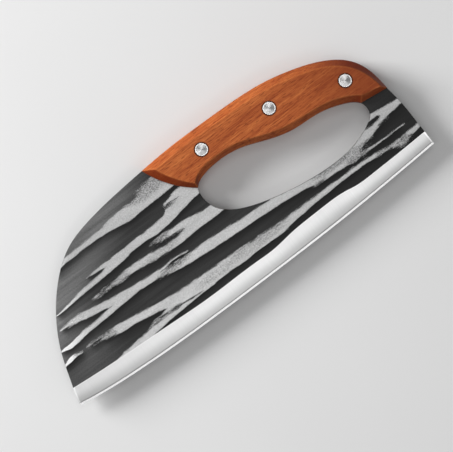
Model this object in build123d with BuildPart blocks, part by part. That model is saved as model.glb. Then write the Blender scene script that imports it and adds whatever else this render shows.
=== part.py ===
from build123d import *

import os

# Meat cleaver with a finger opening: one steel blade whose upper bar is the tang, two wood scales,
# and three two-piece compression rivets. Millimetres, lying on its back scale.
#
# +X runs along the cutting edge from nose to heel, +Y from the edge to the back of the handle, +Z up,
# square to the blade. The origin is under the middle of the outline, at the back scale's flat face.

# Driving dimensions
LENGTH = 260.0  # nose corner to heel corner
BLADE_THICKNESS = 3.5
SCALE_THICKNESS = 8.0
SCALE_WALL = 3.6  # height of a scale's square edge, below its chamfer
EDGE_LAND = 0.1  # thickness left at the cutting edge
SHARPENED_WIDTH = 1.2  # across the sharpened strip
SHARPENED_THICKNESS = 0.7  # where the sharpened strip meets the wide bevel
GRIND_OVERRUN = 2.0  # how far the grinding runs past nose and heel
GRIND_REACH = 55.0  # Y beyond the whole outline
BLANK_MARGIN = 6.0  # steel below the corners, ground away to the curved edge

RIVET_HEAD_RADIUS = 4.0
RIVET_HEAD_THICKNESS = 1.6
RIVET_HEAD_CHAMFER = 0.25
RIVET_SUNK = 0.05  # how far a head lies below its scale's face
RIVET_TUBE_RADIUS = 2.5
RIVET_PIN_RADIUS = 1.75  # pressed in the tube, line to line
RIVET_TUBE_GAP = 1.0  # from the tube's open end to the pin's head
RIVET_BORE_FLOOR = 2.7  # steel left between the tube's blind bore and its scale's face
RIVET_PIN_SPARE = 0.75  # from the pin's end to the floor of the bore
SCALE_HOLE_RADIUS = 2.55
COUNTERBORE_RADIUS = 4.08
TANG_HOLE_RADIUS = 2.65

# Heights
BACK_FACE = 0.0
TANG_BACK = BACK_FACE + SCALE_THICKNESS
TANG_FRONT = TANG_BACK + BLADE_THICKNESS
FRONT_FACE = TANG_FRONT + SCALE_THICKNESS
MIDDLE = (BACK_FACE + FRONT_FACE) / 2
COUNTERBORE_DEPTH = RIVET_HEAD_THICKNESS + RIVET_SUNK
TUBE_END = BACK_FACE + COUNTERBORE_DEPTH + RIVET_TUBE_GAP
BORE_END = FRONT_FACE - RIVET_BORE_FLOOR
PIN_END = BORE_END - RIVET_PIN_SPARE

# Places on the outline, where its curves meet
NOSE_CORNER = (-LENGTH / 2, -42.8)
HEEL_CORNER = (LENGTH / 2, -42.8)
SCALE_NOSE = (-18.5, 46.9)  # front end of the scales, on the spine
SCALE_HEEL = (127.1, 0.2)  # rear end of the scales, on the spine
OPENING_NOSE = (2.4, 19.0)  # front end of the scales, at the finger opening
OPENING_HEEL = (109.3, 2.2)  # rear end of the scales, at the finger opening

# Directions of the outline at those places, each curve meeting its neighbour without a corner
SPINE_AT_NOSE = (1.0, 0.08)
SPINE_AT_HEEL = (0.12, -1.0)
OPENING_AT_NOSE = (-0.5, -0.87)
OPENING_AT_HEEL = (-0.6, 0.8)
EVEN = (1.0, 1.0)  # a curve's pace at its two ends, the same as along the rest of it

# Corners of a scale's flat face, inside its chamfer
FLAT_NOSE_TOP = (-11.5, 42.7)
FLAT_HEEL_TOP = (124.5, 2.9)
FLAT_HEEL_BOTTOM = (112.4, 5.6)
FLAT_NOSE_BOTTOM = (2.5, 22.3)

RIVETS = {"nose": (17.35, 36.0), "middle": (63.75, 31.8), "heel": (109.45, 18.25)}

# The cutting edge, and the upper limit of the wide bevel ground behind it, from nose to heel
CUTTING_EDGE = [
    (-LENGTH / 2 - GRIND_OVERRUN, -42.4),
    (-118.0, -44.5),
    (-95.0, -46.5),
    (-60.0, -47.9),
    (-20.0, -48.1),
    (20.0, -47.7),
    (60.0, -46.7),
    (95.0, -45.0),
    (LENGTH / 2 + GRIND_OVERRUN, -42.6),
]
BEVEL_LIMIT = [
    (-LENGTH / 2 - GRIND_OVERRUN, -31.5),
    (-122.0, -32.4),
    (-98.0, -34.0),
    (-58.0, -35.8),
    (-34.0, -36.8),
    (-10.0, -36.6),
    (4.0, -36.55),
    (14.0, -36.7),
    (22.0, -36.1),
    (30.0, -35.0),
    (46.0, -34.1),
    (62.0, -33.7),
    (70.0, -34.1),
    (78.0, -35.3),
    (90.0, -35.4),
    (110.0, -34.7),
    (LENGTH / 2 + GRIND_OVERRUN, -33.6),
]


def spine_curve():
    """Over the nose, from its corner on the cutting edge to the front end of the scales."""
    points = [
        NOSE_CORNER,
        (-126.8, -30.4),
        (-121.4, -13.4),
        (-111.3, 6.5),
        (-94.4, 26.4),
        (-80.0, 36.4),
        (-60.0, 42.2),
        (-40.0, 45.0),
        SCALE_NOSE,
    ]
    Spline(*points, tangents=((0.1, 1.0), SPINE_AT_NOSE), tangent_scalars=EVEN)


def handle_back_curve():
    """Along the back of the handle, from the front end of the scales to their rear end."""
    points = [
        SCALE_NOSE,
        (0.0, 48.15),
        (25.0, 48.45),
        (50.0, 47.95),
        (70.0, 46.2),
        (90.0, 41.6),
        (110.0, 33.2),
        (120.0, 24.5),
        (125.0, 14.0),
        SCALE_HEEL,
    ]
    Spline(*points, tangents=(SPINE_AT_NOSE, SPINE_AT_HEEL), tangent_scalars=EVEN)


def heel_curve():
    """Down the heel, from the rear end of the scales to the corner on the cutting edge."""
    points = [SCALE_HEEL, (128.6, -10.0), (129.4, -26.0), HEEL_CORNER]
    Spline(*points, tangents=(SPINE_AT_HEEL, (0.01, -1.0)), tangent_scalars=EVEN)


def opening_steel_curve():
    """The finger opening where it is cut in the blade alone, from nose to heel."""
    points = [
        OPENING_NOSE,
        (1.2, 12.0),
        (2.7, 6.0),
        (8.7, -1.4),
        (20.0, -7.5),
        (42.0, -13.5),
        (70.0, -16.9),
        (93.0, -14.9),
        (104.0, -10.7),
        (109.6, -6.4),
        (110.5, -1.2),
        OPENING_HEEL,
    ]
    Spline(*points, tangents=(OPENING_AT_NOSE, OPENING_AT_HEEL), tangent_scalars=EVEN)


def opening_wood_curve():
    """The finger opening along the scales, from heel to nose."""
    points = [
        OPENING_HEEL,
        (99.0, 8.6),
        (86.0, 12.1),
        (68.0, 13.4),
        (50.0, 18.4),
        (36.0, 23.3),
        (20.0, 24.75),
        (9.5, 23.2),
        OPENING_NOSE,
    ]
    Spline(*points, tangents=(OPENING_AT_HEEL, OPENING_AT_NOSE), tangent_scalars=EVEN)


def scale_outline():
    """A scale's outline, flush with the tang along the back and along the opening."""
    handle_back_curve()
    Line(SCALE_HEEL, OPENING_HEEL)
    opening_wood_curve()
    ThreePointArc(OPENING_NOSE, (-10.1, 31.4), SCALE_NOSE)


def scale_flat():
    """The outline of a scale's flat face. The chamfer outside it is widest along the back."""
    back = [
        FLAT_NOSE_TOP,
        (0.0, 43.3),
        (25.0, 43.6),
        (50.0, 43.0),
        (70.0, 41.5),
        (88.0, 37.4),
        (105.0, 31.4),
        (116.5, 22.3),
        (121.7, 13.5),
        FLAT_HEEL_TOP,
    ]
    opening = [
        FLAT_HEEL_BOTTOM,
        (101.5, 11.7),
        (87.0, 15.3),
        (70.0, 16.8),
        (51.5, 21.4),
        (37.0, 26.5),
        (20.0, 27.9),
        (8.5, 26.3),
        FLAT_NOSE_BOTTOM,
    ]
    Spline(*back)
    Line(FLAT_HEEL_TOP, FLAT_HEEL_BOTTOM)
    Spline(*opening)
    ThreePointArc(FLAT_NOSE_BOTTOM, (-5.5, 31.8), FLAT_NOSE_TOP)


def grind_level(lower_limit):
    """All the blade's steel at one height: above the given line, and past the outline elsewhere."""
    Spline(*lower_limit)
    nose_end = lower_limit[0]
    heel_end = lower_limit[-1]
    Polyline(heel_end, (heel_end[0], GRIND_REACH), (nose_end[0], GRIND_REACH), nose_end)


# The blade: the ground plate, its finger opening and the bar above it that the scales sit on
with BuildPart() as blade:
    with BuildSketch(Plane.XY.offset(MIDDLE)):
        with BuildLine():
            blank_bottom = NOSE_CORNER[1] - BLANK_MARGIN
            spine_curve()
            handle_back_curve()
            heel_curve()
            Line(HEEL_CORNER, (HEEL_CORNER[0], blank_bottom))
            Line((HEEL_CORNER[0], blank_bottom), (NOSE_CORNER[0], blank_bottom))
            Line((NOSE_CORNER[0], blank_bottom), NOSE_CORNER)
        make_face()
        with BuildLine():
            opening_steel_curve()
            opening_wood_curve()
        make_face(mode=Mode.SUBTRACT)
        with Locations(*RIVETS.values()):
            Circle(TANG_HOLE_RADIUS, mode=Mode.SUBTRACT)
    extrude(amount=BLADE_THICKNESS / 2, both=True)
    sharpened_limit = [(x, y + SHARPENED_WIDTH) for x, y in CUTTING_EDGE]
    upper_levels = [
        (EDGE_LAND / 2, CUTTING_EDGE),
        (SHARPENED_THICKNESS / 2, sharpened_limit),
        (BLADE_THICKNESS / 2, BEVEL_LIMIT),
    ]
    lower_levels = [(-height, limit) for height, limit in reversed(upper_levels)]
    for height, limit in lower_levels + upper_levels:
        with BuildSketch(Plane.XY.offset(MIDDLE + height)):
            with BuildLine():
                grind_level(limit)
            make_face()
    loft(ruled=True, mode=Mode.INTERSECT)
blade.part.label = "blade"

# The front scale: square edges flush with the tang, a chamfer above them, three stepped rivet holes
with BuildPart() as front_scale:
    with BuildSketch(Plane.XY.offset(TANG_FRONT)):
        with BuildLine():
            scale_outline()
        make_face()
    extrude(amount=SCALE_WALL)
    with BuildSketch(Plane.XY.offset(TANG_FRONT + SCALE_WALL)):
        with BuildLine():
            scale_outline()
        make_face()
    with BuildSketch(Plane.XY.offset(FRONT_FACE)):
        with BuildLine():
            scale_flat()
        make_face()
    loft(ruled=True)
    with Locations(*[(x, y, FRONT_FACE) for x, y in RIVETS.values()]):
        CounterBoreHole(SCALE_HOLE_RADIUS, COUNTERBORE_RADIUS, COUNTERBORE_DEPTH, SCALE_THICKNESS)
front_scale.part.label = "front_scale"

# The back scale: the front scale's mirror image on the tang's other face
with BuildPart() as back_scale:
    mirror(front_scale.part, about=Plane.XY.offset(MIDDLE))
back_scale.part.label = "back_scale"

os.makedirs("parts", exist_ok=True)
export_step(blade.part, "parts/blade.step")
export_step(front_scale.part, "parts/front_scale.step")
export_step(back_scale.part, "parts/back_scale.step")

# Each rivet is a headed tube let in from the front and a headed pin pressed into it from the back
for name, place in RIVETS.items():
    with BuildPart() as rivet_tube:
        with BuildSketch(Plane.XY.offset(FRONT_FACE - COUNTERBORE_DEPTH)):
            with Locations(place):
                Circle(RIVET_HEAD_RADIUS)
        extrude(amount=RIVET_HEAD_THICKNESS)
        rim = rivet_tube.edges().group_by(Axis.Z)[-1]
        chamfer(rim, RIVET_HEAD_CHAMFER)
        with BuildSketch(Plane.XY.offset(TUBE_END)):
            with Locations(place):
                Circle(RIVET_TUBE_RADIUS)
        extrude(amount=FRONT_FACE - COUNTERBORE_DEPTH - TUBE_END)
        with BuildSketch(Plane.XY.offset(TUBE_END)):
            with Locations(place):
                Circle(RIVET_PIN_RADIUS)
        extrude(amount=BORE_END - TUBE_END, mode=Mode.SUBTRACT)
    rivet_tube.part.label = f"rivet_tube_{name}"
    export_step(rivet_tube.part, f"parts/rivet_tube_{name}.step")

    with BuildPart() as rivet_pin:
        with BuildSketch(Plane.XY.offset(BACK_FACE + RIVET_SUNK)):
            with Locations(place):
                Circle(RIVET_HEAD_RADIUS)
        extrude(amount=RIVET_HEAD_THICKNESS)
        rim = rivet_pin.edges().group_by(Axis.Z)[0]
        chamfer(rim, RIVET_HEAD_CHAMFER)
        with BuildSketch(Plane.XY.offset(BACK_FACE + COUNTERBORE_DEPTH)):
            with Locations(place):
                Circle(RIVET_PIN_RADIUS)
        extrude(amount=PIN_END - BACK_FACE - COUNTERBORE_DEPTH)
    rivet_pin.part.label = f"rivet_pin_{name}"
    export_step(rivet_pin.part, f"parts/rivet_pin_{name}.step")
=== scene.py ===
import math

import bmesh
import bpy
import numpy as np
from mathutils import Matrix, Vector
from mathutils.bvhtree import BVHTree
from mathutils.geometry import delaunay_2d_cdt
from mathutils.kdtree import KDTree


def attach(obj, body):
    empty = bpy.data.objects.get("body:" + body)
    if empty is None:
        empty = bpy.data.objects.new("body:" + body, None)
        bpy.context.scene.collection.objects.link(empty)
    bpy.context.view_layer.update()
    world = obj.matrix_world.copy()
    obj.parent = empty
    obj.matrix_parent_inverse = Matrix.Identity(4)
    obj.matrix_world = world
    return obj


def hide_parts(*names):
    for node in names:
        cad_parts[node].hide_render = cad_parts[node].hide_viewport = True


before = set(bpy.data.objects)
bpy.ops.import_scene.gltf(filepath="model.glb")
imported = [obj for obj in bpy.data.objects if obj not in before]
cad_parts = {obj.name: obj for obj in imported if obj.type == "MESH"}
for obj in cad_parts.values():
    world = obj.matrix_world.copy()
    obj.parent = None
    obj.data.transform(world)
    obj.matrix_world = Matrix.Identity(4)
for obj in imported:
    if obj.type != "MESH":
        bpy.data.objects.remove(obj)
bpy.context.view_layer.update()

MM = 0.001

# ------------------------------------------------------------------ sizes, in millimetres
FINE = 0.55  # grid of the blade's mesh near the edge of a streak
COARSE = 2  # fine steps to one coarse step, everywhere else
RIM_STEP = 0.8  # along outlines
CORNER_DEG = 22.0  # sharper turns of an outline stay corners
HOLLOW_DEPTH = 0.26  # of the hammered hollows between the streaks
EDGE_REACH = 1.3  # how near a point is to a streak's lower edge where that edge still keeps it crisp and gets a painted shadow line
HOLLOW_FALL = 6.5  # how far a hollow, and the painted shade in it, takes to run out, away from the streak above it
HOLLOW_GRIND = 0.12  # how far the wide bevel is hollow across its width
REACH = 3.0  # farthest that a distance to a streak is told apart
CELL = 0.5  # grid on which the hollows are laid out
SCALE_STEP = 0.75  # grid of a scale's mesh
ARRIS = 0.35  # how far the arrises of a scale's flat are worn round
RIM_ROUND = 0.45  # radius worn on a scale's outer rim
RIM_RINGS = (0.03, 0.12, 0.27, 0.45)  # lines of vertices across that radius
HOLE_SIDES = 64
SLIVER = 1e-4  # area of the flat triangles left out along a straight outline, in square millimetres

# The bright streaks on the blade's faces, with x along the edge chord from the nose corner, and the
# lower and upper limit above that chord: (x, lower, upper).
CHORD_Y = -43.45  # the chord, in the row frame
STREAKS = {
    "spine": [
        (34, 71.8, 76.0), (40, 72.9, 76.3), (45, 73.3, 76.3), (50, 73.4, 76.3), (54, 73.9, 76.5),
        (60, 73.7, 76.8), (70, 73.4, 77.3), (80, 72.3, 78.7), (85, 71.5, 79.2), (91, 70.9, 79.4),
        (96, 71.5, 79.8), (102, 71.6, 81.2), (108, 71.8, 83.3), (114, 72.0, 84.0), (124, 72.4, 84.0),
    ],
    "upper": [
        (20, 51.1, 51.5), (26, 51.3, 52.3), (30, 51.5, 52.9), (35, 52.0, 54.0), (40, 52.4, 54.8),
        (50, 52.9, 55.6), (57, 53.3, 56.4), (62, 53.6, 58.0), (67, 54.0, 59.8), (72, 54.5, 59.9),
        (78, 55.4, 60.1), (85, 55.8, 60.3), (90, 55.7, 60.3), (95, 55.1, 60.6), (100, 55.3, 61.0),
        (107, 55.8, 62.0), (110, 56.3, 64.0), (115, 57.3, 64.8), (120, 58.2, 65.4), (126, 59.1, 68.0),
        (134, 60.0, 68.0),
    ],
    "upper_prong": [
        (48, 58.8, 59.0), (51, 58.4, 59.3), (56, 58.1, 59.6), (61, 57.2, 59.9), (68, 56.0, 59.9),
    ],
    "upper_lobe": [
        (109.5, 66.2, 66.5), (112, 65.9, 67.4), (115, 65.8, 68.1), (118, 65.6, 69.1), (122, 64.5, 69.6),
        (127, 62.0, 69.6), (134, 60.5, 69.0),
    ],
    "middle": [
        (44, 46.5, 46.7), (50, 46.0, 47.1), (57, 45.7, 47.7), (64, 45.4, 48.5), (69, 45.3, 49.3),
        (73, 45.1, 49.1), (80, 44.2, 48.6), (86, 43.6, 48.3), (92, 43.0, 47.5), (98, 42.7, 46.6),
        (105, 42.5, 46.8), (110, 42.7, 48.0), (115, 43.0, 51.0), (121, 43.1, 51.0), (126, 42.9, 50.2),
        (140, 43.3, 50.0),
    ],
    "middle_lobe": [
        (90, 52.1, 52.3), (95, 51.0, 52.5), (100, 49.7, 52.9), (106, 49.0, 52.6), (111, 48.2, 52.5),
        (116, 46.5, 52.0), (122, 46.0, 50.9),
    ],
    "fork_upper": [
        (17, 43.0, 43.4), (21, 42.4, 43.8), (26, 41.6, 44.7), (30, 40.7, 44.9), (35, 39.4, 44.0),
        (40, 38.5, 43.0), (45, 37.8, 41.9), (50, 36.4, 41.1), (60, 35.5, 39.9), (70, 35.0, 38.7),
        (80, 35.3, 37.8), (86, 35.7, 37.4), (91, 36.5, 37.6), (95, 37.0, 37.8), (100, 36.8, 37.4),
        (105, 36.2, 36.4),
    ],
    "fork_lower": [
        (9, 32.4, 32.7), (12, 31.8, 33.2), (16, 30.8, 33.5), (20, 31.1, 34.0), (25, 31.7, 34.8),
        (32, 32.3, 35.2), (40, 32.7, 35.7), (47, 33.1, 36.5), (53, 33.7, 37.5), (62, 34.1, 38.0),
        (71, 34.3, 37.5), (78, 33.7, 36.8), (86, 32.9, 36.0), (92, 31.2, 35.1), (100, 30.1, 34.7),
        (110, 29.1, 34.5), (120, 28.4, 34.3), (130, 27.8, 33.7), (140, 27.4, 32.9), (150, 26.9, 32.4),
        (160, 26.4, 31.8), (170, 25.7, 31.5), (180, 24.6, 31.0), (187, 23.6, 30.0), (192, 22.0, 30.0),
        (200, 21.4, 29.0), (210, 20.9, 29.0), (216, 20.6, 30.0), (221, 21.6, 30.5), (225, 24.1, 31.5),
        (230, 25.5, 31.6), (236, 27.2, 31.2), (241, 28.5, 31.6), (245, 29.9, 33.5), (250, 30.6, 35.4),
        (256, 31.1, 35.1), (262, 31.9, 35.1),
    ],
    "heel_lobe": [
        (236, 34.1, 38.0), (240, 34.1, 37.1), (243.4, 33.7, 36.4), (245.5, 31.0, 36.0), (250, 31.0, 35.5),
    ],
    "heel_tip": [
        (214, 20.4, 22.5), (220, 20.0, 22.3), (226, 20.1, 21.5), (233, 20.1, 21.0), (240, 20.2, 21.0),
        (246, 20.4, 21.1), (253, 20.5, 20.6),
    ],
    "lower": [
        (34, 24.0, 24.8), (37, 22.9, 25.6), (40, 22.4, 25.9), (44, 21.1, 26.1), (50, 20.5, 25.3),
        (56, 20.0, 24.5), (62, 19.0, 23.5), (70, 17.8, 22.3), (74, 16.8, 21.8), (78, 14.9, 21.3),
        (84, 13.6, 20.7), (90, 12.9, 20.1), (97, 12.2, 19.9), (103, 11.3, 19.7), (110, 11.7, 19.4),
        (117, 12.0, 19.4), (124, 11.4, 19.3), (132, 11.5, 18.8), (140, 11.7, 18.2), (150, 11.4, 17.8),
        (158, 11.6, 17.3), (163, 12.3, 17.5), (168, 13.0, 17.5), (176, 13.7, 17.5), (185, 14.4, 17.3),
        (195, 14.7, 17.6), (207, 15.1, 17.4), (220, 15.1, 17.4), (227, 14.6, 16.9), (234, 14.0, 15.5),
        (240, 13.2, 15.3), (243, 11.5, 15.4), (246, 10.8, 15.3), (249, 11.6, 15.5), (254, 12.8, 15.9),
        (262, 14.2, 16.7),
    ],
    "lower_start": [(24, 25.9, 26.1), (28, 25.7, 26.3), (33, 25.7, 26.1)],
    "bevel_wedge": [
        (34, 9.1, 9.2), (38, 8.4, 9.8), (43, 8.0, 10.5), (50, 7.5, 11.4), (57, 7.7, 12.0), (61, 8.4, 12.6),
        (65, 8.8, 13.2), (71, 9.4, 13.4), (78, 10.0, 12.8), (86, 10.5, 12.4), (94, 10.9, 12.0),
        (101, 11.1, 12.2), (106, 11.5, 13.0),
    ],
    "bevel_lobe": [(62, 13.3, 13.6), (66, 13.9, 14.8), (71, 14.3, 15.2), (75, 14.4, 16.4), (80, 14.5, 17.5)],
    "nose": [
        (4, 23.4, 24.0), (8, 24.2, 25.7), (11, 24.3, 26.8), (14, 24.8, 27.1), (17, 25.3, 26.5),
        (20, 25.3, 25.6),
    ],
}
# Patches where the bright steel is broken up by dark speckle: (x, y, half length, half height, how much)
FRAYED = [
    (106, 80, 16, 5.0, 0.8), (20, 43.2, 9, 2.5, 1.0), (27, 43, 8, 3, 0.5), (30, 25.2, 10, 2.2, 1.0),
    (39, 23.8, 5, 3, 0.7), (50, 46.6, 10, 2, 1.0), (63, 46.8, 8, 3, 0.6), (68, 13.6, 9, 1.4, 0.9),
    (79, 13.4, 6, 1.4, 0.9), (95, 51.4, 8, 2.5, 1.0), (104, 48.2, 9, 1.6, 0.9), (90, 44.5, 16, 3, 0.4),
    (93, 33.6, 14, 2.3, 0.85), (113, 64.8, 5, 1.6, 0.7), (140, 15.8, 26, 3.5, 0.55), (112, 15.5, 18, 3, 0.45),
    (206, 26.4, 17, 3.2, 1.0), (219, 22.5, 9, 4.0, 0.8), (227, 24.5, 8, 2.2, 0.9), (236, 14.6, 10, 2.0, 0.6),
    (246, 12.2, 8, 3.0, 0.9), (244, 28.9, 5, 1.0, 0.8), (192, 22.5, 6, 1.5, 0.6), (18, 26, 5, 1.6, 0.8),
]


# ------------------------------------------------------------------ curves and distances
def smooth_values(stations, values, x):
    """A smooth curve through (stations, values), read at x."""
    slopes = np.gradient(values, stations)
    i = np.clip(np.searchsorted(stations, x) - 1, 0, len(stations) - 2)
    step = stations[i + 1] - stations[i]
    t = np.clip((x - stations[i]) / step, 0.0, 1.0)
    start = (1 + 2 * t) * (1 - t) ** 2 * values[i] + t * (1 - t) ** 2 * step * slopes[i]
    end = t * t * (3 - 2 * t) * values[i + 1] + t * t * (t - 1) * step * slopes[i + 1]
    return start + end


def streak_limits(stations, x):
    table = np.array(stations, float)
    lower = smooth_values(table[:, 0], table[:, 1], x)
    upper = smooth_values(table[:, 0], table[:, 2], x)
    return lower, np.maximum(upper, lower + 0.05)


def distance_to_lines(points, starts, ends, near=4):
    """Each point's distance to the nearest of the short line pieces."""
    tree = KDTree(len(starts))
    for k, (x, y) in enumerate((starts + ends) / 2):
        tree.insert((x, y, 0.0), k)
    tree.balance()
    found = np.array([[hit[1] for hit in tree.find_n((x, y, 0.0), near)] for x, y in points])
    start, along = starts[found], (ends - starts)[found]
    reach = points[:, None, :] - start
    t = np.clip((reach * along).sum(2) / np.maximum((along**2).sum(2), 1e-12), 0.0, 1.0)
    return np.linalg.norm(reach - t[..., None] * along, axis=2).min(1)


def inside(points, loop):
    """Which points lie inside a closed outline."""
    x, y = points[:, 0], points[:, 1]
    result = np.zeros(len(points), bool)
    for (ax, ay), (bx, by) in zip(loop, np.roll(loop, -1, axis=0)):
        if ay != by:
            crosses = (ay > y) != (by > y)
            result ^= crosses & (x < (bx - ax) * (y - ay) / (by - ay) + ax)
    return result


def streak_distance(points):
    """Signed distance to the nearest streak's edge, below 0 inside one; points are from the chord."""
    result = np.full(len(points), REACH)
    for stations in STREAKS.values():
        x = np.arange(stations[0][0], stations[-1][0] + 0.3, 0.6)
        lower, upper = streak_limits(stations, x)
        outline = np.concatenate([np.stack([x, lower], 1), np.stack([x, upper], 1)[::-1]])
        low, high = outline.min(0) - REACH, outline.max(0) + REACH
        near = np.flatnonzero(((points > low) & (points < high)).all(1))
        distance = distance_to_lines(points[near], outline, np.roll(outline, -1, axis=0))
        distance[inside(points[near], outline)] *= -1
        result[near] = np.minimum(result[near], distance)
    return np.maximum(result, -REACH)


def blurred(grid, sigma_x, sigma_y):
    for axis, sigma in ((0, sigma_x), (1, sigma_y)):
        reach = int(3 * sigma / CELL) + 1
        weights = np.exp(-0.5 * (np.arange(-reach, reach + 1) * CELL / sigma) ** 2)
        weights /= weights.sum()
        padding = [(reach, reach) if a == axis else (0, 0) for a in (0, 1)]
        padded = np.pad(grid, padding, mode="edge")
        grid = np.apply_along_axis(lambda line: np.convolve(line, weights, "valid"), axis, padded)
    return grid


def smoothstep(low, high, value):
    t = np.clip((value - low) / (high - low), 0.0, 1.0)
    return t * t * (3 - 2 * t)


class HollowMap:
    """The hammered hollows: deepest just under each streak, running out towards the next one. Also the
    painted shade under each streak and the painted shadow line at its lower edge.
    """

    def __init__(self, x_range, y_range):
        self.x = np.arange(x_range[0], x_range[1] + CELL, CELL)
        self.y = np.arange(y_range[0], y_range[1] + CELL, CELL)
        bright = np.zeros((len(self.x), len(self.y)), bool)
        for stations in STREAKS.values():
            within = (self.x >= stations[0][0]) & (self.x <= stations[-1][0])
            lower, upper = streak_limits(stations, self.x)
            between = (self.y > lower[:, None]) & (self.y < upper[:, None])
            bright |= within[:, None] & between
        below = self.run_length(bright, range(len(self.y) - 1, -1, -1), 3.0)
        above = self.run_length(bright, range(len(self.y)), 3.0)
        into = self.run_length(~bright, range(len(self.y)), 3.0)
        # lower_edge: near each streak's lower edge; it keeps that edge crisp and places the painted shadow
        # line under it
        self.lower_edge = np.exp(-np.where(bright, into, below) / EDGE_REACH)
        shade = np.where(bright, 0.0, np.exp(-below / HOLLOW_FALL))
        depth = shade * smoothstep(0.0, 2.5, above)
        self.depth = blurred(depth, 2.0, 0.35)
        # under: painted shade, darkest just under each streak and lighter towards the next one
        self.under = blurred(shade, 1.6, 0.3)

    def run_length(self, bright, order, start):
        """How far each cell is from the last bright one, walking along Y in the given order."""
        run = np.full(len(self.x), start)
        result = np.zeros(bright.shape)
        for j in order:
            run = np.where(bright[:, j], 0.0, run + CELL)
            result[:, j] = run
        return result

    def read(self, grid, points):
        u = np.clip((points[:, 0] - self.x[0]) / CELL, 0, len(self.x) - 1.001)
        v = np.clip((points[:, 1] - self.y[0]) / CELL, 0, len(self.y) - 1.001)
        i, j = u.astype(int), v.astype(int)
        u, v = u - i, v - j
        low = grid[i, j] * (1 - u) + grid[i + 1, j] * u
        high = grid[i, j + 1] * (1 - u) + grid[i + 1, j + 1] * u
        return low * (1 - v) + high * v


# ------------------------------------------------------------------ reading the CAD shapes
class CadShape:
    """A CAD node's mesh in millimetres, its doubled vertices joined."""

    def __init__(self, node):
        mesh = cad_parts[node].data
        mesh.calc_loop_triangles()
        raw = np.array([v.co for v in mesh.vertices]) / MM
        unique, index = np.unique(raw.round(4), axis=0, return_inverse=True)
        index = index.reshape(-1)
        faces = np.array([[index[v] for v in t.vertices] for t in mesh.loop_triangles])
        keep = [len(set(f)) == 3 for f in faces.tolist()]
        self.points, self.faces = unique, faces[keep]
        a, b, c = (self.points[self.faces[:, k]] for k in range(3))
        normals = np.cross(b - a, c - a)
        self.normals = normals / np.maximum(np.linalg.norm(normals, axis=1), 1e-12)[:, None]
        self.tree = BVHTree.FromPolygons(self.points.tolist(), self.faces.tolist())

    def edges_of(self, chosen):
        """{edge: faces} of the chosen faces."""
        found = {}
        for f in np.flatnonzero(chosen):
            a, b, c = self.faces[f].tolist()
            for edge in ((a, b), (b, c), (c, a)):
                found.setdefault(tuple(sorted(edge)), []).append(f)
        return found

    def chains(self, edges):
        """Edges joined end to end, each chain a list of vertex numbers."""
        beside = {}
        for a, b in edges:
            beside.setdefault(a, []).append(b)
            beside.setdefault(b, []).append(a)
        result = []
        ends = [v for v, n in beside.items() if len(n) == 1]
        for start in ends + list(beside):
            while beside.get(start):
                chain = [start]
                while beside[chain[-1]]:
                    here = chain[-1]
                    there = beside[here].pop()
                    beside[there].remove(here)
                    chain.append(there)
                result.append(chain)
        return result

    def loops(self, chosen):
        """Outlines of the chosen faces, longest first, as closed rings of (x, y)."""
        edges = [e for e, faces in self.edges_of(chosen).items() if len(faces) == 1]
        rings = [self.points[c[:-1]] for c in self.chains(edges) if c[0] == c[-1]]
        return sorted(rings, key=lambda r: -np.ptp(r[:, 0]))

    def creases(self, chosen, degrees):
        """Lines inside the chosen faces where the surface turns."""
        limit = math.cos(math.radians(degrees))
        edges = []
        for edge, faces in self.edges_of(chosen).items():
            if len(faces) == 2 and self.normals[faces[0]] @ self.normals[faces[1]] < limit:
                edges.append(edge)
        return [self.points[c] for c in self.chains(edges)]

    def height(self, x, y, above=True):
        """Height of the outermost surface over (x, y), or None outside the shape."""
        start = Vector((x, y, 60.0 if above else -60.0))
        hit = self.tree.ray_cast(start, Vector((0, 0, -1 if above else 1)))[0]
        return None if hit is None else hit.z


def spread(points, step, closed, kept=()):
    """Points along a smooth curve through the given ones, a step apart. Corners stay, and so do the
    points nearest to the kept ones."""
    points = np.asarray(points, float)[:, :2]
    count = len(points)
    if closed:
        before, after = np.roll(points, 1, axis=0), np.roll(points, -1, axis=0)
        turn = np.abs(angle_between(points - before, after - points))
        corners = set(np.flatnonzero(turn > math.radians(CORNER_DEG)).tolist())
        corners |= {int(np.linalg.norm(points - p[:2], axis=1).argmin()) for p in kept}
        corners = np.array(sorted(corners or {0}))
        order = [np.arange(a, b + 1) % count for a, b in zip(corners, [*corners[1:], corners[0] + count])]
    else:
        order = [np.arange(count)]
    result = []
    for run in order:
        part = points[run]
        length = np.concatenate([[0], np.cumsum(np.linalg.norm(np.diff(part, axis=0), axis=1))])
        pieces = max(int(round(length[-1] / step)), 1)
        at = np.linspace(0, length[-1], pieces + 1)
        if len(part) > 2:
            smooth = np.stack([smooth_values(length, part[:, k], at) for k in (0, 1)], 1)
        else:
            smooth = part[0] + (part[-1] - part[0]) * (at / length[-1])[:, None]
        result.append(smooth[:-1])
    if not closed:
        result.append(points[-1:])
    return np.concatenate(result)


def angle_between(a, b):
    return np.arctan2(a[:, 0] * b[:, 1] - a[:, 1] * b[:, 0], (a * b).sum(1))


def circle_of(ring):
    """Centre and radius of a round outline."""
    low, high = ring[:, :2].min(0), ring[:, :2].max(0)
    return (low + high) / 2, float((high - low).mean() / 2)


def circle(centre, radius):
    turn = np.arange(HOLE_SIDES) * 2 * math.pi / HOLE_SIDES
    return centre + radius * np.stack([np.cos(turn), np.sin(turn)], 1)


def inwards(loop):
    """Unit directions into the outline's inside, at each of its points."""
    along = np.roll(loop, -1, axis=0) - np.roll(loop, 1, axis=0)
    x, y = loop[:, 0], loop[:, 1]
    area = (x * np.roll(y, -1) - np.roll(x, -1) * y).sum()
    side = np.stack([-along[:, 1], along[:, 0]], 1) * np.sign(area)
    return side / np.linalg.norm(side, axis=1)[:, None]


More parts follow.
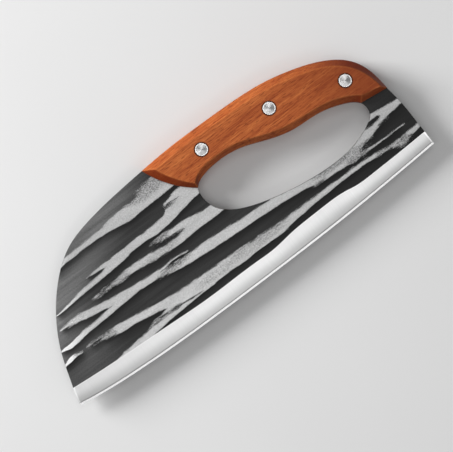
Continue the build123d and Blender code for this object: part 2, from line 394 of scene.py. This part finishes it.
# ------------------------------------------------------------------ flat meshes with a height
def triangulate(loops, lines, extra):
    """Triangles that fill the loops (outline first, then holes), keeping the lines as edges.
    Returns the points, the triangles, and each loop as a ring of vertex numbers."""
    points, edges, firsts = [], [], []
    for line, closed in [(loop, True) for loop in loops] + [(line, False) for line in lines]:
        first = len(points)
        firsts.append(first)
        points += line.tolist()
        edges += [(first + k, first + k + 1) for k in range(len(line) - 1)]
        if closed:
            edges.append((len(points) - 1, first))
    points += np.asarray(extra).reshape(-1, 2).tolist()
    verts, _, faces, sources, *_ = delaunay_2d_cdt([Vector(p) for p in points], edges, [], 0, 1e-5)
    number = {source: k for k, group in enumerate(sources) for source in group}
    rings = [np.array([number[first + k] for k in range(len(loop))]) for first, loop in zip(firsts, loops)]
    flat = np.array([v[:] for v in verts])
    faces = np.array(faces)
    middle = flat[faces].mean(1)
    a, b, c = (flat[faces[:, k]] for k in range(3))
    area = np.abs((b - a)[:, 0] * (c - a)[:, 1] - (b - a)[:, 1] * (c - a)[:, 0]) / 2
    keep = inside(middle, loops[0]) & ((area > SLIVER) | ~np.isin(faces, rings[0]).all(1))
    for hole in loops[1:]:
        keep &= ~inside(middle, hole)
    return flat, faces[keep], rings


def hex_grid(low, high, step):
    rows = np.arange(low[1], high[1], step * math.sqrt(3) / 2)
    columns = np.arange(low[0], high[0], step)
    x, y = np.meshgrid(columns, rows, indexing="ij")
    x = x + (np.arange(len(rows)) % 2) * step / 2
    i, j = np.meshgrid(np.arange(len(columns)), np.arange(len(rows)), indexing="ij")
    return np.stack([x.ravel(), y.ravel()], 1), i.ravel(), j.ravel()


def rim_drop(distance, radius):
    """How far a rounded rim lies below the surface, that far in from the outline."""
    short = np.clip(radius - distance, 0.0, radius)
    return radius - np.sqrt(radius**2 - short**2)


def wall_between(first_ring, second_ring):
    count = len(first_ring)
    following = [(k, (k + 1) % count) for k in range(count)]
    return [(first_ring[a], first_ring[b], second_ring[b], second_ring[a]) for a, b in following]


def make_piece(name, points, groups, materials, attributes, sharp_deg):
    """A mesh object from points in millimetres and groups of faces, one group to a material."""
    faces, slots = [], []
    for slot, group in enumerate(groups):
        faces += [tuple(int(v) for v in face) for face in group]
        slots += [min(slot, len(materials) - 1)] * len(group)
    mesh = bpy.data.meshes.new(name)
    mesh.from_pydata((np.asarray(points) * MM).tolist(), [], faces)
    for key, values in attributes.items():
        mesh.attributes.new(key, "FLOAT", "POINT").data.foreach_set("value", np.asarray(values, "f"))
    for material in materials:
        mesh.materials.append(material)
    mesh.polygons.foreach_set("material_index", slots)
    mesh.polygons.foreach_set("use_smooth", [True] * len(faces))
    sheet = bmesh.new()
    sheet.from_mesh(mesh)
    bmesh.ops.recalc_face_normals(sheet, faces=sheet.faces)
    sheet.to_mesh(mesh)
    sheet.free()
    mesh.set_sharp_from_angle(angle=math.radians(sharp_deg))
    piece = bpy.data.objects.new(name, mesh)
    bpy.context.scene.collection.objects.link(piece)
    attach(piece, "root")
    return piece


# ------------------------------------------------------------------ the blade
BLADE_RIM = 0.3  # radius worn on the blade's outline and on the opening's rim
BLADE_RINGS = (0.04, 0.14, 0.3)
NEAR_STREAK = 1.6  # where the fine grid is used
NUDGE = 0.02  # how far inside the outline a height is read


def frayed(points):
    """How broken up the bright steel is at points measured from the chord, 0 to 1."""
    result = np.zeros(len(points))
    for x, y, half_length, half_height, amount in FRAYED:
        reach = ((points[:, 0] - x) / half_length) ** 2 + ((points[:, 1] - y) / half_height) ** 2
        result = np.maximum(result, amount * smoothstep(1.3, 0.3, reach))
    return result


def build_blade(materials):
    cad = CadShape("blade")
    facing = cad.normals[:, 2] > 0.3
    top = cad.points[:, 2].max()
    middle = (top + cad.points[:, 2].min()) / 2
    nose_x = cad.points[:, 0].min()
    creases = sorted(cad.creases(facing, 3.0), key=lambda line: line[:, 1].mean())
    creases = [line if line[0, 0] < line[-1, 0] else line[::-1] for line in (creases[0], creases[-1])]
    kept = [line[k] for line in creases for k in (0, -1)]
    loops = [spread(ring, RIM_STEP, True, kept) for ring in cad.loops(facing)]
    sharpened, limit = [spread(line, RIM_STEP, False) for line in creases]
    ring = cad.loops(facing)[0]
    edge_z = ring[:, 2].min()
    edge = ring[ring[:, 2] < edge_z + 0.05]
    edge = spread(edge[edge[:, 0].argsort()], RIM_STEP, False)

    def above_line(line, points):
        return points[:, 1] - np.interp(points[:, 0], line[:, 0], line[:, 1])

    lines = [*loops, sharpened, limit]
    starts = np.concatenate(lines)
    ends = np.concatenate([np.roll(line, -1, axis=0) for line in lines])
    # The two pieces that would close the open lines are left out
    real = np.linalg.norm(ends - starts, axis=1) < 3 * RIM_STEP
    starts, ends = starts[real], ends[real]

    scale = CadShape("front_scale")
    tang = spread(scale.loops(scale.normals[:, 2] < -0.9)[0], RIM_STEP, True)
    grid, i, j = hex_grid(loops[0].min(0), loops[0].max(0), FINE)
    clear = inside(grid, loops[0])
    for hole in loops[1:]:
        clear &= ~inside(grid, hole)
    grid, i, j = grid[clear], i[clear], j[clear]
    hidden = inside(grid, tang)
    from_chord = grid - [nose_x, CHORD_Y]
    near = np.abs(streak_distance(from_chord)) < NEAR_STREAK
    near &= ~hidden & (above_line(limit, grid) > 0)
    coarse = (i % COARSE == 0) & (j % COARSE == 0)
    coarser = (i % (2 * COARSE) == 0) & (j % (2 * COARSE) == 0)
    grid = grid[near | np.where(hidden, coarser, coarse)]
    grid = grid[distance_to_lines(grid, starts, ends) > 0.55 * FINE]
    rings = []
    for loop in loops[:2]:
        for depth in BLADE_RINGS:
            ring = loop + inwards(loop) * depth * (1 if loop is loops[0] else -1)
            rings.append(ring[above_line(limit, ring) > 0.6])
    flat, faces, numbers = triangulate(loops, [sharpened, limit], np.concatenate([grid, *rings]))

    outer = np.concatenate(loops[:2])
    outer_ends = np.concatenate([np.roll(loop, -1, axis=0) for loop in loops[:2]])
    rim = distance_to_lines(flat, outer, outer_ends)
    height = np.full(len(flat), top)
    low = np.flatnonzero(above_line(limit, flat) < 0.01)
    levels = (edge_z, creases[0][:, 2].mean(), top)
    steps = np.stack([np.interp(flat[low, 0], line[:, 0], line[:, 1]) for line in (edge, sharpened, limit)])
    height[low] = [np.interp(y, steps[:, k], levels) for k, y in enumerate(flat[low, 1])]

    from_chord = flat - [nose_x, CHORD_Y]
    hollows = HollowMap((0, np.ptp(flat[:, 0])), (flat[:, 1].min() - CHORD_Y, flat[:, 1].max() - CHORD_Y))
    streak = streak_distance(from_chord)
    over_limit = above_line(limit, flat)
    tang_near = distance_to_lines(flat, tang, np.roll(tang, -1, axis=0))
    tang_near[inside(flat, tang)] = 0.0
    open_steel = smoothstep(0.0, 1.2, over_limit) * smoothstep(0.2, 1.6, tang_near)
    height -= HOLLOW_DEPTH * hollows.read(hollows.depth, from_chord) * open_steel
    height -= rim_drop(rim, BLADE_RIM) * smoothstep(0.3, 1.4, over_limit)
    over_sharpened = above_line(sharpened, flat)
    across = np.clip(over_sharpened / (over_sharpened - over_limit), 0.0, 1.0)
    height -= HOLLOW_GRIND * 4 * across * (1 - across)

    centre = flat[faces].mean(1)
    zone = np.where(above_line(limit, centre) > 0, 0, np.where(above_line(sharpened, centre) > 0, 1, 2))
    count = len(flat)
    points = np.concatenate([np.column_stack([flat, height]), np.column_stack([flat, 2 * middle - height])])
    groups = [np.concatenate([faces[zone == z], faces[zone == z][:, ::-1] + count]) for z in (0, 1, 2)]
    sides = []
    for ring in numbers:
        sides += wall_between(ring + count, ring)
    both = {
        "streak": np.tile(streak, 2),
        # under and crisp carry the painted shade and the painted shadow line under the streaks
        "under": np.tile(hollows.read(hollows.under, from_chord), 2),
        "crisp": np.tile(hollows.read(hollows.lower_edge, from_chord), 2),
        "from_rim": np.tile(np.minimum(rim, REACH), 2),
        "fray": np.tile(frayed(from_chord), 2),
        "across": np.tile(across, 2),
    }
    piece = make_piece("blade_steel", points, [*groups, sides], materials, both, 4.0)
    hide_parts("blade")
    return piece


# ------------------------------------------------------------------ the scales
def worn_height(cad, point, above, distance):
    """Height over a point, averaged over a small disc near an arris so that the arris is worn round.
    A sample outside the shape counts as its opposite one continued, so that the rim stays in place."""
    here = cad.height(*point, above)
    if distance > ARRIS:
        return here
    total, count = here, 1
    for ring in (0.5, 1.0):
        for turn in range(6):
            angle = math.pi * (turn + ring) / 6
            offset = ARRIS * ring * np.array([math.cos(angle), math.sin(angle)])
            pair = [cad.height(*(point + offset * side), above) for side in (1, -1)]
            total += 2 * here if None in pair else sum(pair)
            count += 2
    return total / count


def build_scale(node, above, materials):
    cad = CadShape(node)
    outward = 1.0 if above else -1.0
    slope = cad.normals[:, 2] * outward
    inner_face = cad.points[:, 2].min() if above else cad.points[:, 2].max()
    outer_face = cad.points[:, 2].max() if above else cad.points[:, 2].min()
    levels = cad.points[cad.faces].mean(1)[:, 2]
    facing = (slope > 0.3) & (np.abs(levels - outer_face) < 1.0)
    facing |= (slope > 0.3) & (slope < 0.99)
    outline, *bores = [spread(ring, RIM_STEP, True) for ring in cad.loops(facing)]
    bottom = [circle_of(ring) for ring in cad.loops(slope < -0.99)[1:]]
    seat_z = levels[(slope > 0.99) & (np.abs(levels - outer_face) > 1.0)].mean()
    holes = [circle_of(ring) for ring in bores]
    loops = [outline] + [circle(*hole) for hole in holes]
    arrises = [spread(line, RIM_STEP, False) for line in cad.creases(facing, 15.0)]

    grid, _, _ = hex_grid(outline.min(0), outline.max(0), SCALE_STEP)
    clear = inside(grid, outline)
    for hole in loops[1:]:
        clear &= ~inside(grid, hole)
    grid = grid[clear]
    starts = np.concatenate(loops)
    ends = np.concatenate([np.roll(loop, -1, axis=0) for loop in loops])
    grid = grid[distance_to_lines(grid, starts, ends) > RIM_RINGS[-1] + 0.4 * SCALE_STEP]
    rings = [outline + inwards(outline) * depth for depth in RIM_RINGS]
    rings += [circle(centre, radius + grow) for centre, radius in holes for grow in (0.12, 0.4)]
    wear = []
    for line in arrises:
        along = np.gradient(line, axis=0)
        side = np.stack([-along[:, 1], along[:, 0]], 1) / np.linalg.norm(along, axis=1)[:, None]
        wear += [line + side * offset for offset in (-0.35, -0.12, 0.12, 0.35)]
    wear = np.concatenate(wear)
    wear = wear[inside(wear, outline)]
    wear = wear[distance_to_lines(wear, starts, ends) > RIM_RINGS[-1] + 0.1]
    flat, faces, numbers = triangulate(loops, [], np.concatenate([grid, *rings, wear]))

    crease_starts = np.concatenate([line[:-1] for line in arrises])
    crease_ends = np.concatenate([line[1:] for line in arrises])
    to_arris = distance_to_lines(flat, crease_starts, crease_ends)
    to_rim = distance_to_lines(flat, outline, np.roll(outline, -1, axis=0))
    push = np.zeros_like(flat)
    push[numbers[0]] = inwards(outline) * NUDGE
    for (centre, _), ring in zip(holes, numbers[1:]):
        push[ring] = (flat[ring] - centre) * 0.02
    height = np.array([worn_height(cad, flat[k] + push[k], above, to_arris[k]) for k in range(len(flat))])
    height -= outward * rim_drop(to_rim, RIM_ROUND)

    points = [np.column_stack([flat, height])]
    count = len(flat)
    cap_flat, cap_faces, cap_numbers = triangulate([outline] + [circle(*hole) for hole in bottom], [], [])
    points.append(np.column_stack([cap_flat, np.full(len(cap_flat), inner_face)]))
    cap_faces = cap_faces + count
    cap_rings = [ring + count for ring in cap_numbers]
    count += len(cap_flat)
    walls = wall_between(cap_rings[0], numbers[0])
    for (centre, radius), top_ring in zip(holes, numbers[1:]):
        nearest = min(range(len(bottom)), key=lambda k: np.linalg.norm(bottom[k][0] - centre))
        levels_down = []
        for r in (radius, bottom[nearest][1]):
            levels_down.append(np.arange(HOLE_SIDES) + count)
            points.append(np.column_stack([circle(centre, r), np.full(HOLE_SIDES, seat_z)]))
            count += HOLE_SIDES
        chain = [top_ring, *levels_down, cap_rings[1 + nearest]]
        for first, second in zip(chain, chain[1:]):
            walls += wall_between(first, second)
    points = np.concatenate(points)
    around = [np.linalg.norm(points[:, :2] - centre, axis=1) - radius for centre, radius in holes]
    attributes = {
        "to_rivet": np.minimum.reduce(around),
        "to_arris": np.concatenate([to_arris, np.full(len(points) - len(flat), 9.0)]),
    }
    piece = make_piece(f"{node}_wood", points, [faces, cap_faces, walls], materials, attributes, 40.0)
    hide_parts(node)
    return piece


# ------------------------------------------------------------------ materials
class Graph:
    """A material's nodes, with a short way to write each kind."""

    def __init__(self, name):
        self.material = bpy.data.materials.new(name)
        self.material.use_nodes = True
        self.tree = self.material.node_tree
        self.shader = self.tree.nodes["Principled BSDF"]
        self.places = self.tree.nodes.new("ShaderNodeTexCoord")
        self.mm = self.times(self.places.outputs["Object"], (1 / MM, 1 / MM, 1 / MM))

    def put(self, socket, value):
        if isinstance(value, bpy.types.NodeSocket):
            self.tree.links.new(value, socket)
        else:
            socket.default_value = value

    def node(self, kind, inputs, **settings):
        made = self.tree.nodes.new(kind)
        for key, value in settings.items():
            setattr(made, key, value)
        for key, value in inputs.items():
            self.put(made.inputs[key], value)
        return made

    def shade(self, **inputs):
        for key, value in inputs.items():
            self.put(self.shader.inputs[key.replace("_", " ")], value)
        return self.material

    def times(self, vector, factors):
        made = self.node("ShaderNodeVectorMath", {0: vector, 1: factors}, operation="MULTIPLY")
        return made.outputs[0]

    def math(self, operation, a, b=0.0):
        return self.node("ShaderNodeMath", {0: a, 1: b}, operation=operation).outputs[0]

    def add(self, *terms):
        total = terms[0]
        for term in terms[1:]:
            total = self.math("ADD", total, term)
        return total

    def scale(self, a, b):
        return self.math("MULTIPLY", a, b)

    def ramp(self, value, low, high, to_low=0.0, to_high=1.0):
        """A smooth step from to_low at low to to_high at high; low may be the larger."""
        inputs = {"Value": value, "From Min": low, "From Max": high, "To Min": to_low, "To Max": to_high}
        return self.node("ShaderNodeMapRange", inputs, interpolation_type="SMOOTHSTEP").outputs[0]

    def noise(self, cells, detail=2.0, roughness=0.5):
        """Noise with so many cells per millimetre along X, Y and Z."""
        inputs = {"Vector": self.times(self.mm, cells), "Scale": 1.0}
        inputs.update({"Detail": detail, "Roughness": roughness})
        return self.node("ShaderNodeTexNoise", inputs).outputs[0]

    def spread_noise(self, cells, amount, detail=2.0):
        """Noise about 0, from -amount to amount or so."""
        return self.scale(self.math("SUBTRACT", self.noise(cells, detail), 0.5), 3.0 * amount)

    def mix(self, factor, a, b):
        made = self.tree.nodes.new("ShaderNodeMix")
        made.data_type = "RGBA"
        for socket, value in zip((made.inputs[0], made.inputs[6], made.inputs[7]), (factor, a, b)):
            self.put(socket, value)
        return made.outputs[2]

    def grey(self, value):
        return self.node("ShaderNodeCombineColor", {0: value, 1: value, 2: value}).outputs[0]

    def attribute(self, name):
        return self.node("ShaderNodeAttribute", {}, attribute_name=name).outputs["Fac"]

    def bump(self, height, depth, strength=1.0):
        """Height is 0 to 1; depth is how many millimetres that stands for."""
        inputs = {"Height": height, "Distance": depth * MM, "Strength": strength}
        return self.node("ShaderNodeBump", inputs).outputs[0]


def rgb(red, green, blue):
    return (red, green, blue, 1.0)


SILVER = 0.50  # tone of the polished streaks


def forged_steel():
    """Hammered flats: dark forge scale, polished through to bright steel on the high streaks."""
    g = Graph("forged_steel")
    x, y = g.node("ShaderNodeSeparateXYZ", {0: g.mm}).outputs[:2]
    streak, under, fray, crisp = (g.attribute(name) for name in ("streak", "under", "fray", "crisp"))
    nose_end = g.ramp(g.add(x, g.scale(y, -0.4)), -90.0, -118.0)
    loose = g.scale(g.ramp(crisp, 0.9, 0.15, 0.30, 1.0), g.ramp(nose_end, 0.0, 1.0, 1.0, 0.4))
    grain = g.spread_noise((1.9, 2.3, 1.9), 1.0, 1.5)
    drawn = g.spread_noise((0.16, 0.85, 0.5), 1.0, 2.0)
    amount = g.scale(g.add(0.8, g.scale(fray, 2.4)), loose)
    ragged = g.scale(g.add(g.scale(grain, 0.8), g.scale(drawn, 0.8)), amount)
    soft = g.scale(g.add(0.5, g.scale(fray, 1.3)), loose)
    bright = g.ramp(g.add(streak, ragged), soft, g.scale(soft, -1.0))

    speckle = g.noise((1.5, 1.7, 1.5), 3.0, 0.65)
    contrast = g.add(0.11, g.scale(fray, 0.22))
    grains = g.scale(g.spread_noise((1.2, 1.3, 1.2), 1.0, 1.5), contrast)
    silver_and_sheen = g.add(SILVER, grains, g.scale(fray, -0.20))
    # painted highlight: the streaks brighten towards the nose end; painted reflection: lighter towards the
    # nose over the whole blade; also slightly lighter towards the edge
    silver_and_sheen = g.add(silver_and_sheen, g.spread_noise((0.05, 0.16, 0.1), 0.05), g.scale(nose_end, 0.42))
    silver_and_sheen = g.scale(silver_and_sheen, g.ramp(x, -20.0, 90.0, 1.10, 0.95))
    silver_and_sheen = g.scale(silver_and_sheen, g.ramp(y, -35.0, 35.0, 1.06, 0.95))

    brushed = g.spread_noise((0.02, 0.45, 0.3), 0.45, 3.0)
    # Painted light in the dark scale's tone: lighter towards the nose as a painted reflection, lighter still
    # at the nose end as a painted highlight, and a painted sheen towards the spine on the key light's side;
    # also a little lighter at the heel's upper part, next to the handle.
    toward_key_light = g.add(g.scale(x, -0.5), g.scale(y, 0.85))
    oxide_and_painted_light = g.add(g.ramp(x, 120.0, -60.0, 0.009, 0.026), g.ramp(x, -80.0, -112.0, 0.0, 0.034))
    oxide_and_painted_light = g.add(oxide_and_painted_light, g.ramp(toward_key_light, 40.0, 62.0, 0.0, 0.085))
    oxide_and_painted_light = g.add(oxide_and_painted_light, g.scale(g.ramp(x, 88.0, 112.0, 0.0, 0.012), g.ramp(y, -12.0, 0.0)))
    # painted shade: darkest just under each streak, lighter towards the next streak
    oxide_and_painted_light = g.scale(oxide_and_painted_light, g.ramp(under, 0.95, 0.2, 0.10, 1.2))
    # painted shadow: a thin near-black line along each streak's lower edge
    oxide_and_painted_light = g.scale(oxide_and_painted_light, g.ramp(crisp, 0.45, 0.75, 1.0, 0.12))
    oxide_and_painted_light = g.scale(oxide_and_painted_light, g.add(g.ramp(speckle, 0.2, 0.8, 0.75, 1.25), brushed))

    colour = g.mix(bright, g.grey(oxide_and_painted_light), g.grey(silver_and_sheen))
    rough = g.mix(bright, g.grey(0.52), g.grey(g.ramp(speckle, 0.25, 0.75, 0.46, 0.36)))
    height = g.add(g.scale(speckle, 0.6), g.scale(g.noise((0.35, 0.5, 0.35), 3.0), 0.8))
    return g.shade(
        Base_Color=colour, Metallic=bright, Roughness=rough, Specular_IOR_Level=0.3,
        Normal=g.bump(height, 0.05, 0.8),
    )


def ground_steel():
    """The wide bevel: finely ground, the lines running across it."""
    g = Graph("ground_steel")
    across, from_rim = g.attribute("across"), g.attribute("from_rim")
    lines = g.noise((5.0, 0.05, 0.05), 3.0, 0.6)
    fine = g.noise((1.2, 0.02, 0.05), 2.0)
    # Painted light in the bevel's tone: darker towards the edge as painted shading, a thin painted highlight
    # along its top crease, a thin painted shade line along its lower crease, and a painted highlight along
    # the outline.
    tone = g.add(g.ramp(across, 0.0, 0.75, 0.46, 0.77), g.spread_noise((0.02, 0.1, 0.1), 0.03))
    tone = g.add(tone, g.ramp(across, 0.93, 1.0, 0.0, 0.08), g.ramp(across, 0.10, 0.02, 0.0, -0.20))
    tone = g.add(g.scale(tone, g.ramp(lines, 0.2, 0.8, 0.96, 1.04)), g.ramp(from_rim, 1.1, 0.7, 0.0, 0.25))
    rough = g.add(0.24, g.scale(fine, 0.06), g.scale(lines, 0.06))
    return g.shade(
        Base_Color=g.grey(tone), Metallic=1.0, Roughness=rough, Normal=g.bump(g.add(lines, fine), 0.004, 0.5)
    )


def sharpened_steel():
    """The strip that carries the edge, honed along its length."""
    g = Graph("sharpened_steel")
    lines = g.noise((0.06, 4.0, 4.0), 3.0, 0.6)
    tone = g.ramp(lines, 0.2, 0.8, 0.54, 0.68)
    return g.shade(
        Base_Color=g.grey(tone), Metallic=1.0, Roughness=g.ramp(lines, 0.2, 0.8, 0.16, 0.28),
        Normal=g.bump(lines, 0.003, 0.5),
    )


def side_steel():
    """The narrow sides of the blade and its opening, belt-ground along their length."""
    g = Graph("side_steel")
    lines = g.noise((0.15, 0.15, 6.0), 3.0, 0.6)
    marks = g.noise((0.8, 0.8, 2.0), 2.0)
    tone = g.add(g.ramp(lines, 0.2, 0.8, 0.34, 0.56), g.scale(marks, 0.1))
    return g.shade(
        Base_Color=g.grey(tone), Metallic=1.0, Roughness=g.add(0.32, g.scale(marks, 0.12)),
        Normal=g.bump(lines, 0.01, 0.6),
    )


def oiled_wood():
    """Reddish hardwood, its grain along the handle, with short dark pores."""
    g = Graph("oiled_wood")
    x = g.node("ShaderNodeSeparateXYZ", {0: g.mm}).outputs[0]
    surface = g.node("ShaderNodeNewGeometry", {}).outputs["True Normal"]
    end_grain_and_shade = g.math("ABSOLUTE", g.node("ShaderNodeSeparateXYZ", {0: surface}).outputs[0])
    to_rivet, to_arris = g.attribute("to_rivet"), g.attribute("to_arris")
    bands = g.noise((0.012, 0.22, 0.22), 3.0, 0.6)
    fibres = g.noise((0.08, 1.3, 1.3), 4.0, 0.75)
    pores = g.noise((0.22, 1.8, 1.8), 2.0, 0.5)
    tone = g.add(g.scale(bands, 0.35), g.scale(fibres, 0.65))
    colour = g.mix(g.ramp(tone, 0.38, 0.50), rgb(0.29, 0.056, 0.014), rgb(0.43, 0.105, 0.027))
    colour = g.mix(g.ramp(tone, 0.50, 0.62), colour, rgb(0.57, 0.165, 0.044))
    colour = g.mix(g.ramp(pores, 0.54, 0.70, 0.0, 0.7), colour, rgb(0.14, 0.024, 0.007))
    colour = g.mix(g.ramp(x, 70.0, 122.0, 0.0, 0.7), colour, rgb(0.20, 0.034, 0.008))
    # Darker where the surface faces the handle's ends: end grain, and painted shade on the end chamfers.
    colour = g.mix(g.ramp(end_grain_and_shade, 0.2, 0.6, 0.0, 0.75), colour, rgb(0.14, 0.014, 0.003))
    # painted highlight: a thin lighter line along the arrises
    colour = g.mix(g.ramp(to_arris, 0.8, 0.0, 0.0, 0.14), colour, rgb(0.78, 0.30, 0.10))
    # painted shade: a dark ring in the gap around each rivet
    colour = g.mix(g.ramp(to_rivet, 0.9, 0.1, 0.0, 0.85), colour, rgb(0.045, 0.011, 0.005))
    rough = g.add(0.36, g.scale(fibres, 0.16), g.ramp(to_arris, 0.9, 0.0, 0.0, -0.06))
    height = g.add(g.scale(fibres, 0.4), g.ramp(pores, 0.54, 0.70, 0.0, -0.8))
    return g.shade(
        Base_Color=colour, Roughness=rough, Specular_IOR_Level=0.15, Normal=g.bump(height, 0.07, 0.6)
    )


RIVET_WIDTH = 8.0
RING_COUNT = 1.6  # turned rings to a millimetre
FACED_RADIUS = 3.3  # of the dished middle of a rivet's head
DISH_SLOPE = -0.14


def turned_steel():
    """Rivet heads faced on a lathe: a shallow cone inside a bright flat rim."""
    g = Graph("turned_steel")
    from_middle = g.node(
        "ShaderNodeVectorMath", {0: g.places.outputs["Generated"], 1: (0.5, 0.5, 0.0)}, operation="SUBTRACT"
    )
    flat = g.times(from_middle.outputs[0], (RIVET_WIDTH, RIVET_WIDTH, 0.0))
    radius = g.node("ShaderNodeVectorMath", {0: flat}, operation="LENGTH").outputs["Value"]
    ring_place = g.node("ShaderNodeCombineXYZ", {0: radius}).outputs[0]
    uneven = g.node("ShaderNodeTexNoise", {"Vector": ring_place, "Scale": RING_COUNT}).outputs[0]
    height = g.scale(g.math("MINIMUM", radius, FACED_RADIUS), DISH_SLOPE)
    tone = g.add(g.ramp(uneven, 0.25, 0.75, 0.50, 0.60), g.ramp(radius, 3.0, 3.5, 0.0, 0.12))
    tangent = g.node("ShaderNodeTangent", {}, direction_type="RADIAL", axis="Z").outputs[0]
    return g.shade(
        Base_Color=g.grey(tone), Metallic=1.0, Roughness=0.28, Anisotropic=0.5, Tangent=tangent,
        Normal=g.bump(height, 1.0, 1.0),
    )


build_blade([forged_steel(), ground_steel(), sharpened_steel(), side_steel()])
wood = oiled_wood()
for scale_node, above in (("front_scale", True), ("back_scale", False)):
    build_scale(scale_node, above, [wood])
turned = turned_steel()
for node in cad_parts:
    if node.startswith("rivet_"):
        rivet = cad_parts[node].data
        rivet.materials.clear()
        rivet.materials.append(turned)


# ------------------------------------------------------------------ floor, lights and camera
VIEW_POINT = Vector((2.4, -8.95, 9.75)) * MM  # what the camera looks straight down at
VIEW_DISTANCE = 2.2308
VIEW_TURN = math.radians(-36.516)
LENS = 300.0
KEY_SIDE = 127.0  # where the main light comes from, seen from above, in degrees from +X
KEY_DISTANCE = 1.7
HIGH = 2.6  # distance of the lights overhead
OVERHEAD = ((53.5, 3.4), (173.5, 3.4), (270.0, 1.8))  # sides and watts of the three high lights
AMBIENT = 0.22
FLOOR_HALF = 40.0
FLOOR_Z = -0.05 * MM


def floor():
    mesh = bpy.data.meshes.new("floor")
    corners = [(x * FLOOR_HALF, y * FLOOR_HALF, FLOOR_Z) for x, y in ((-1, -1), (1, -1), (1, 1), (-1, 1))]
    mesh.from_pydata(corners, [], [(0, 1, 2, 3)])
    g = Graph("pale_floor")
    mottle = g.noise((0.004, 0.004, 0.004), 3.0)
    tone = g.grey(g.ramp(mottle, 0.2, 0.8, 0.78, 0.81))
    mesh.materials.append(g.shade(Base_Color=tone, Roughness=0.75, Specular_IOR_Level=0.2))
    piece = bpy.data.objects.new("floor", mesh)
    bpy.context.scene.collection.objects.link(piece)


def softbox(name, side, elevation, distance, size, watts):
    """An area light at an elevation in degrees over the given side, turned to the object."""
    lamp = bpy.data.lights.new(name, "AREA")
    lamp.shape = "RECTANGLE"
    lamp.size, lamp.size_y = size
    lamp.energy = watts
    piece = bpy.data.objects.new(name, lamp)
    up = math.radians(elevation)
    direction = side.normalized() * math.cos(up) + Vector((0, 0, math.sin(up)))
    piece.location = VIEW_POINT + direction * distance
    piece.rotation_euler = direction.to_track_quat("Z", "Y").to_euler()
    piece.visible_camera = False
    bpy.context.scene.collection.objects.link(piece)
    return piece


def towards(degrees):
    """A level direction, by its angle from +X."""
    return Vector((math.cos(math.radians(degrees)), math.sin(math.radians(degrees)), 0.0))


floor()
key = softbox("key", towards(KEY_SIDE), 24.0, KEY_DISTANCE, (0.8, 0.8), 38.0)
key.visible_glossy = False  # its mirror image in the steel is the wide, dim card's instead
card = softbox("card", towards(KEY_SIDE), 30.0, 3.0, (2.6, 1.8), 13.0)
card.visible_diffuse = False
softbox("zenith", towards(-90.0), 89.0, HIGH, (0.5, 0.5), 2.4)
for turn, watts in OVERHEAD:
    softbox(f"overhead_{turn:.0f}", towards(turn), 73.0, HIGH, (0.6, 0.6), watts)
softbox("edge_strip", towards(-90.0), 60.0, HIGH, (1.6, 0.4), 3.5)
softbox("fill", towards(-45.0), 22.0, 3.0, (2.0, 1.2), 2.5)

world = bpy.data.worlds.new("studio")
world.use_nodes = True
backdrop = world.node_tree.nodes["Background"]
backdrop.inputs["Color"].default_value = (1.0, 1.0, 1.0, 1.0)
backdrop.inputs["Strength"].default_value = AMBIENT
bpy.context.scene.world = world
bpy.context.scene.view_settings.view_transform = "Standard"

camera_data = bpy.data.cameras.new("camera")
camera_data.lens = LENS
camera_data.sensor_width = 36.0
camera_data.clip_start, camera_data.clip_end = 0.05, 50.0
camera = bpy.data.objects.new("camera", camera_data)
camera.location = VIEW_POINT + Vector((0, 0, VIEW_DISTANCE))
camera.rotation_euler = (0.0, 0.0, VIEW_TURN)
bpy.context.scene.collection.objects.link(camera)
bpy.context.scene.camera = camera
